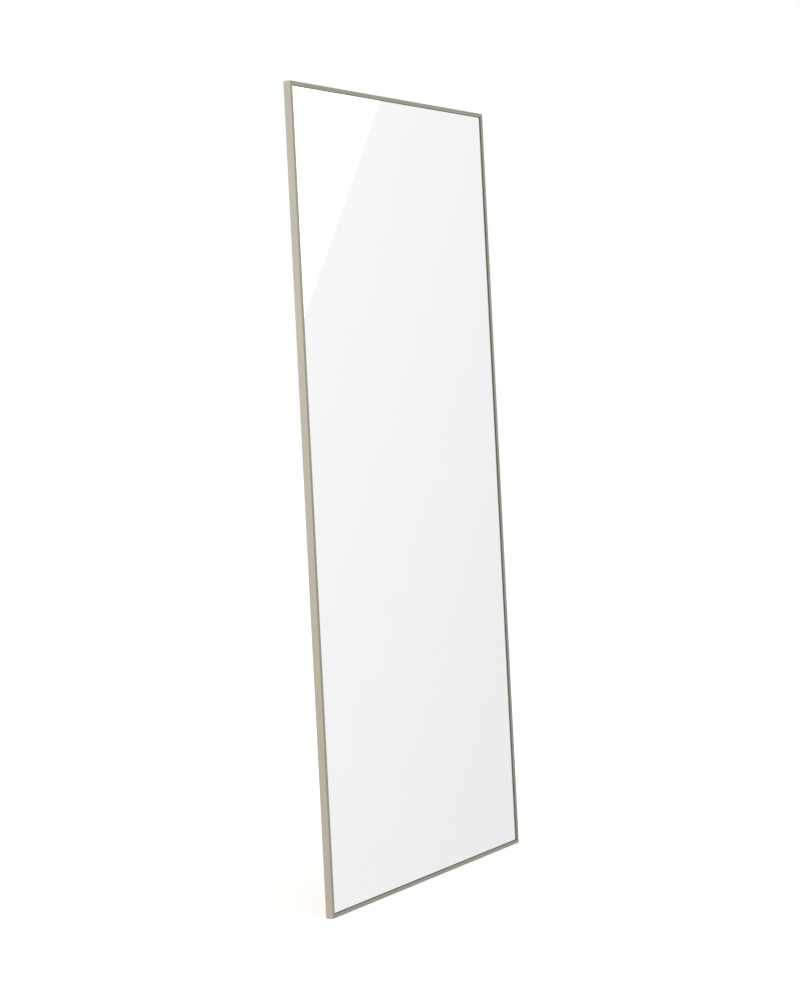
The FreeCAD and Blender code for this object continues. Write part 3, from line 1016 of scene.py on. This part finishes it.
def corner_plate(low, high, corner, screws):
    """Stamped angle plate with round countersinks and eased edges."""
    outline = plate_outline(low, high, corner)
    rings = [[(point.x, depth, point.y) for point in outline] for depth in (low.y, high.y)]
    plate = eased(skin(rings, closed=False), PLATE_EDGE)
    thickness = high.y - low.y
    sink = [
        (SINK_THROUGH, -2 * thickness),
        (SINK_THROUGH, -FLAT_RIM - (SINK_MOUTH - SINK_THROUGH)),
        (SINK_MOUTH, -FLAT_RIM),
        (SINK_MOUTH, thickness),
    ]
    return cut(plate, hole_tools(sink, screws, high.y))


for corner in CORNERS:
    node = "corner_plate_" + corner
    mesh = corner_plate(*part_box(node), corner, separate_places("corner_screws_" + corner))
    new_piece(node + "_stamped", mesh, zinc, node)


# Wall bumpers

def bumper_profile(base_radius, height):
    """Closed outline (radius, height) of the bumper's rubber, from its bore round to the bore again."""
    well_floor = height - BUMPER_WELL_DEPTH
    base = BUMPER_BASE_ROUND
    top = BUMPER_TOP_ROUND
    lip = BUMPER_WELL_ROUND
    profile = [(BUMPER_BORE, 0.0)]
    profile += arc((base_radius - base, base), base, -QUARTER, 0.0, ROUND_STEPS)
    profile += arc((BUMPER_TOP_RADIUS - top, height - top), top, 0.0, QUARTER, ROUND_STEPS)
    for radius in sorted(BUMPER_GROOVE_RADII, reverse=True):
        profile += [
            (radius + BUMPER_GROOVE_HALF_WIDTH, height),
            (radius + BUMPER_GROOVE_HALF_WIDTH / 2, height - BUMPER_GROOVE),
            (radius - BUMPER_GROOVE_HALF_WIDTH / 2, height - BUMPER_GROOVE),
            (radius - BUMPER_GROOVE_HALF_WIDTH, height),
        ]
    profile += arc((BUMPER_WELL_RADIUS + lip, height - lip), lip, QUARTER, 2 * QUARTER, ROUND_STEPS)
    profile += [(BUMPER_WELL_RADIUS, well_floor), (BUMPER_BORE, well_floor)]
    return profile


for corner in CORNERS:
    node = "bumper_" + corner
    low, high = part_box(node)
    mesh = lathe(bumper_profile((high.x - low.x) / 2, high.y - low.y), BUMPER_SEGMENTS)
    mesh.transform(placed_along_y((low.x + high.x) / 2, low.y, (low.z + high.z) / 2))
    new_piece(node + "_moulded", mesh, bumper_rubber, node)


# Floor and bright panel

WHITE = (1.0, 1.0, 1.0, 1.0)
FLOOR_HALF = 30.0
FLOOR_LEVEL = cad_box[0].z
FLOOR_COLOUR = (0.86, 0.86, 0.855, 1.0)
FLOOR_ROUGHNESS = 0.9
FLOOR_LIFT = 0.46
PANEL_AZIMUTH = math.radians(-29.0)
PANEL_DISTANCE = 8.0
PANEL_EDGE_ACROSS = -0.2994
PANEL_EDGE_RISE = 1.3546
PANEL_TILT = math.radians(67.85)
PANEL_LOW = 0.0
PANEL_FOOT_FADE = 0.75
PANEL_HIGH = 2.9
PANEL_FAR_SIDE = -3.4
PANEL_SIDE_FADE = 2.4
PANEL_STRENGTH = 1.5


def stage_mesh(name, points, material):
    """Flat stage piece."""
    mesh = bpy.data.meshes.new(name)
    mesh.from_pydata(points, [], [tuple(range(len(points)))])
    mesh.materials.append(material)
    piece = in_scene(name, mesh)
    return piece


def floor_material():
    """Pale floor: white to the eye, with a soft shadow; clear to reflections, which see the surroundings."""
    surface = Surface("pale_floor")
    surface.set(Base_Color=FLOOR_COLOUR, Roughness=FLOOR_ROUGHNESS, Specular_IOR_Level=0.0)
    rays = surface.add("LightPath").outputs
    lift = surface.add("Emission")
    surface.feed(lift.inputs["Strength"], surface.combine(rays["Is Camera Ray"], FLOOR_LIFT, "MULTIPLY"))
    lifted = surface.both(surface.shader.outputs["BSDF"], lift.outputs["Emission"])
    clear = surface.add("BsdfTransparent").outputs["BSDF"]
    surface.show(surface.either(surface.mirrored(rays), lifted, clear))
    return surface.material


def panel_material(across):
    """Glow of a large soft light that fades out to its far side and its foot."""
    surface = Surface("bright_panel")
    place = surface.place()
    side_range = (PANEL_FAR_SIDE, PANEL_FAR_SIDE + PANEL_SIDE_FADE)
    foot_range = (PANEL_LOW, PANEL_LOW + PANEL_FOOT_FADE)
    side = surface.span(surface.dot(place, across), side_range, FULL, smooth=True)
    foot = surface.span(surface.split(place)["Z"], foot_range, FULL, smooth=True)
    clear = surface.add("BsdfTransparent").outputs["BSDF"]
    glow = surface.add("Emission")
    glow.inputs["Strength"].default_value = PANEL_STRENGTH
    surface.show(surface.either(surface.combine(side, foot, "MULTIPLY"), clear, glow.outputs["Emission"]))
    return surface.material


def build_floor():
    """Wide pale floor under the mirror."""
    reach = FLOOR_HALF
    corners = ((-reach, -reach), (reach, -reach), (reach, reach), (-reach, reach))
    stage_mesh("floor", [(x, y, FLOOR_LEVEL) for x, y in corners], floor_material())


def build_panel():
    """Bright panel in front of the glass, seen in the glass as a white corner with a slanting edge."""
    away = Vector((math.cos(PANEL_AZIMUTH), math.sin(PANEL_AZIMUTH), 0.0))
    across = Vector((-away.y, away.x, 0.0))
    rise = Vector((0.0, 0.0, 1.0))
    outline = []
    for height in (PANEL_LOW, PANEL_HIGH):
        outline.append((PANEL_EDGE_ACROSS + (height - PANEL_EDGE_RISE) / math.tan(PANEL_TILT), height))
    outline += [(PANEL_FAR_SIDE, PANEL_HIGH), (PANEL_FAR_SIDE, PANEL_LOW)]
    points = [away * PANEL_DISTANCE + across * a + rise * b for a, b in outline]
    panel = stage_mesh("bright_panel", points, panel_material(across))
    panel.visible_camera = False
    panel.visible_diffuse = False
    panel.visible_shadow = False


# Surroundings and lamps

WORLD_DIFFUSE = 0.72
# Level that reflections see by azimuth in degrees, 0 at +X and negative in front of the glass
AROUND_LEVELS = (
    (-180.0, 0.90),
    (-90.0, 0.90),
    (-45.0, 0.98),
    (-31.3, 0.970),
    (-26.9, 0.913),
    (-20.0, 0.80),
    (-8.0, 0.72),
    (3.0, 0.72),
    (40.0, 0.88),
    (120.0, 0.95),
    (180.0, 0.90),
)
# Level that reflections see by height, -1 straight down and 1 straight up
HEIGHT_LEVELS = (
    (-1.0, 0.95),
    (-0.55, 1.0),
    (-0.32, 1.02),
    (-0.21, 0.942),
    (0.0, 1.0),
    (0.15, 1.042),
    (0.20, 1.0),
    (1.0, 1.0),
)
# Darker cards high on the right: azimuth, rise, reach and core in degrees, and the level inside
SOFT_CARDS = (
    (-8.0, 26.0, 22.0, 12.0, 0.15),
    (-31.0, 29.0, 19.0, 10.0, 0.25),
)
# Glow behind the left side: azimuth, rise, reach and core in degrees; warm low down and cool higher up
GLOW_PLACE = (151.0, -3.0, 26.0, 0.0)
GLOW_GAIN = 0.90
GLOW_WARM = (1.08, 0.80, 0.66, 1.0)
GLOW_COOL = (0.97, 0.94, 1.12, 1.0)
GLOW_TURN = (-0.22, 0.12)


def patch(kit, direction, azimuth, rise, reach, core, outside, inside):
    """Level that goes smoothly from outside to inside a round patch of the surroundings, in degrees."""
    turn = math.radians(azimuth)
    tilt = math.radians(rise)
    middle = (math.cos(tilt) * math.cos(turn), math.cos(tilt) * math.sin(turn), math.sin(tilt))
    edges = (math.cos(math.radians(reach)), math.cos(math.radians(core)))
    return kit.span(kit.dot(direction, middle), edges, (outside, inside), smooth=True)


def build_world():
    """White to the eye; soft levels, cards and a glow for reflections; even, dimmer light elsewhere."""
    world = bpy.data.worlds.new("studio")
    world.use_nodes = True
    kit = NodeKit(world.node_tree)
    direction = kit.add("TexCoord").outputs["Generated"]
    parts = kit.split(direction)
    compass = kit.combine(parts["Y"], parts["X"], "ARCTAN2")
    around = kit.levels(compass, math.pi, [(math.radians(turn), level) for turn, level in AROUND_LEVELS])
    reflected = kit.combine(around, kit.levels(parts["Z"], 1.0, HEIGHT_LEVELS), "MULTIPLY")
    for *place, level in SOFT_CARDS:
        reflected = kit.combine(reflected, patch(kit, direction, *place, 1.0, level), "MULTIPLY")
    rays = kit.add("LightPath").outputs
    mirrored = kit.mirrored(rays)
    indirect = kit.mix(mirrored, WORLD_DIFFUSE, reflected)
    background = kit.tree.nodes["Background"]
    background.inputs["Color"].default_value = WHITE
    kit.feed(background.inputs["Strength"], kit.mix(rays["Is Camera Ray"], indirect, 1.0))
    glow = kit.add("Background")
    cool = kit.span(parts["Z"], GLOW_TURN, FULL)
    kit.feed(glow.inputs["Color"], kit.blend(cool, GLOW_WARM, GLOW_COOL))
    glowing = patch(kit, direction, *GLOW_PLACE, 0.0, GLOW_GAIN)
    kit.feed(glow.inputs["Strength"], kit.combine(glowing, mirrored, "MULTIPLY"))
    both = kit.both(background.outputs["Background"], glow.outputs["Background"])
    kit.feed(kit.tree.nodes["World Output"].inputs["Surface"], both)
    bpy.context.scene.world = world


def build_lamp(name, place, target, size, power, mirrored=True):
    """Large square lamp that points at a target."""
    data = bpy.data.lights.new(name, "AREA")
    data.shape = "SQUARE"
    data.size = size
    data.energy = power
    lamp = in_scene(name, data)
    lamp.location = place
    lamp.rotation_mode = "QUATERNION"
    lamp.rotation_quaternion = (Vector(target) - Vector(place)).to_track_quat("-Z", "Y")
    lamp.visible_camera = False
    lamp.visible_glossy = mirrored


build_floor()
build_panel()
build_world()
build_lamp("left_lamp", place=(-3.6, 2.2, 1.6), target=(0.0, 0.0, 0.2), size=3.5, power=12.0)
build_lamp("right_lamp", place=(3.2, 2.6, 1.4), target=(0.0, 0.0, 0.0), size=3.0, power=12.0)
build_lamp("top_lamp", place=(0.4, -1.2, 3.6), target=(0.0, 0.0, 0.0), size=3.0, power=20.0, mirrored=False)


# Camera

CAMERA_PLACE = Vector((-4.95707, -2.75149, 0.19626))
CAMERA_TARGET = Vector((-0.01745, -0.01165, 0.15285))
CAMERA_ROLL = math.radians(2.918)
CAMERA_SENSOR = 36.0
CAMERA_LENS = 87.02
CAMERA_SHIFT = (-0.0058, -0.0762)

lens = bpy.data.cameras.new("camera")
lens.sensor_width = CAMERA_SENSOR
lens.sensor_fit = "AUTO"
lens.lens = CAMERA_LENS
lens.shift_x, lens.shift_y = CAMERA_SHIFT
camera = in_scene("camera", lens)
camera.location = CAMERA_PLACE
camera.rotation_mode = "QUATERNION"
aim = (CAMERA_TARGET - CAMERA_PLACE).to_track_quat("-Z", "Y")
camera.rotation_quaternion = aim @ Quaternion((0.0, 0.0, 1.0), -CAMERA_ROLL)
bpy.context.scene.camera = camera
bpy.context.scene.view_settings.view_transform = "Standard"
